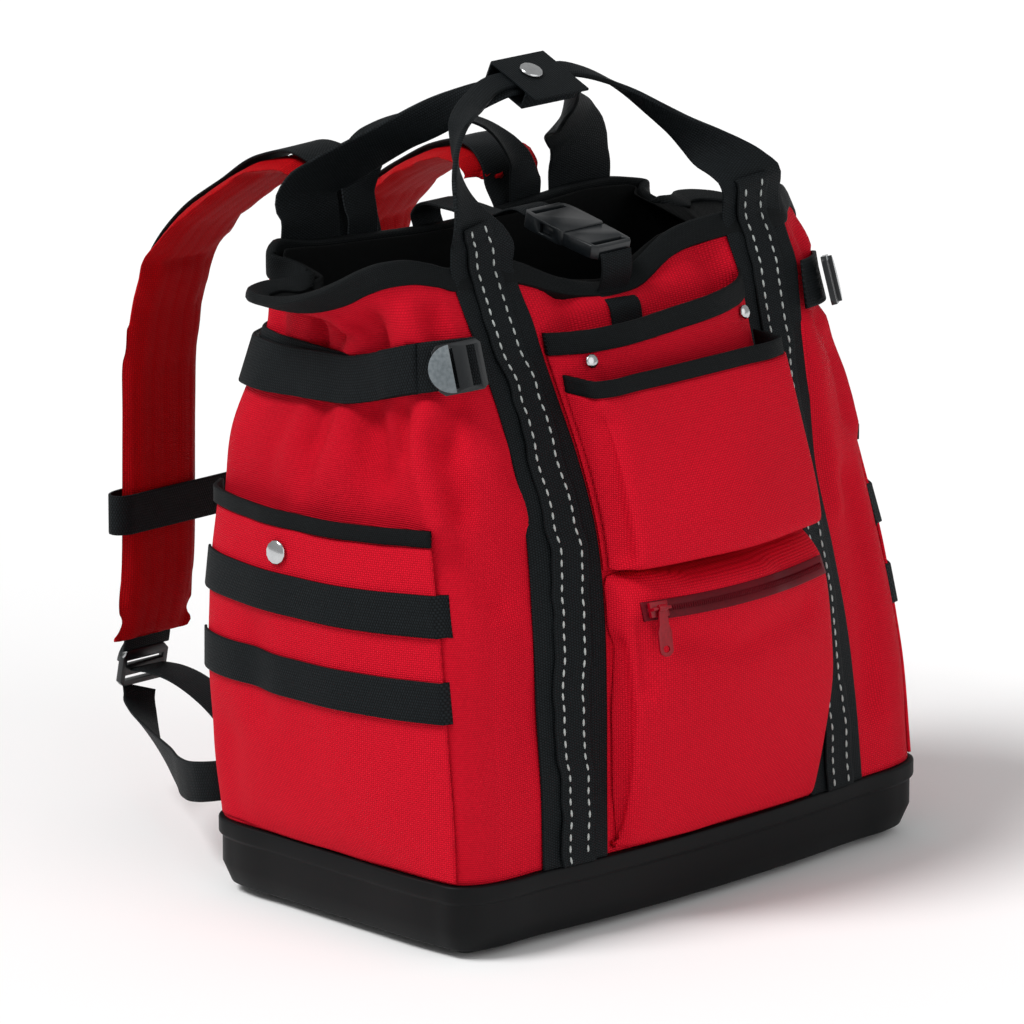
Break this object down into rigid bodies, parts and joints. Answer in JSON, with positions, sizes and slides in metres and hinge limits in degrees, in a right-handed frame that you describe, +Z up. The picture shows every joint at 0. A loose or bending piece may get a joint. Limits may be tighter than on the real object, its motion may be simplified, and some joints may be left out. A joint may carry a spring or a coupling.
{
  "type": "tool backpack",
  "caption": "Open-topped fabric tool backpack on a moulded base, with webbing handles, pockets, a buckled closure strap and padded shoulder straps.",
  "frame": {"origin": "centre of the base's flat underside, midway between the sides", "axes": "+Z up, the front with its pockets faces -Y, +X to the right as seen from the front"},
  "size_m": [0.4364, 0.4416, 0.4907],
  "materials": {
    "red_fabric": "coarse woven polyester",
    "pad_fabric": "woven polyester over foam",
    "lining": "smooth dark lining",
    "webbing": "ribbed black webbing and tape",
    "base": "matt black moulding",
    "plastic": "satin dark grey",
    "steel": "polished snap caps and rivets",
    "zip": "dark red zip"
  },
  "bodies": {
    "bag": {"shell": "red_fabric", "lining": "lining", "base_tub": "base", "rim_binding": "webbing", "front_webbing": "webbing", "stitch_strip_left": "webbing", "stitch_strip_right": "webbing", "back_webbing": "webbing", "handle_wrap": "webbing", "handle_snap": "steel", "side_pocket_left": "red_fabric", "side_binding_left": "webbing", "tool_band_low_left": "webbing", "tool_band_high_left": "webbing", "pocket_snap_left": "steel", "cinch_strap_left": "webbing", "cinch_tail_left": "webbing", "cinch_lock_left": "plastic", "shoulder_pad_left": "pad_fabric", "pad_web_left": "webbing", "shoulder_lock_left": "plastic", "lower_web_left": "webbing", "shoulder_tail_left": "webbing", "side_pocket_right": "red_fabric", "side_binding_right": "webbing", "tool_band_low_right": "webbing", "tool_band_high_right": "webbing", "pocket_snap_right": "steel", "cinch_strap_right": "webbing", "cinch_tail_right": "webbing", "cinch_lock_right": "plastic", "shoulder_pad_right": "pad_fabric", "pad_web_right": "webbing", "shoulder_lock_right": "plastic", "lower_web_right": "webbing", "shoulder_tail_right": "webbing", "organiser_panel": "red_fabric", "organiser_binding": "webbing", "rivet_left": "steel", "rivet_right": "steel", "upper_pocket": "red_fabric", "upper_pocket_binding": "webbing", "lower_pocket": "red_fabric", "zip_tape": "zip", "zip_slider": "zip", "buckle_female": "plastic", "buckle_male": "plastic", "closure_strap_back": "webbing", "closure_strap_front": "webbing", "haul_loop": "webbing", "sternum_strap": "webbing"},
    "pull": {"zip_pull": "zip"}
  },
  "joints": [
    {"name": "pull_swing", "type": "hinge", "parent": "bag", "child": "pull", "pos_m": [-0.06564, -0.14727, 0.19733], "axis": [-0.9654, 0.2608, -0.0015], "range_deg": [0, 120]}
  ]
}
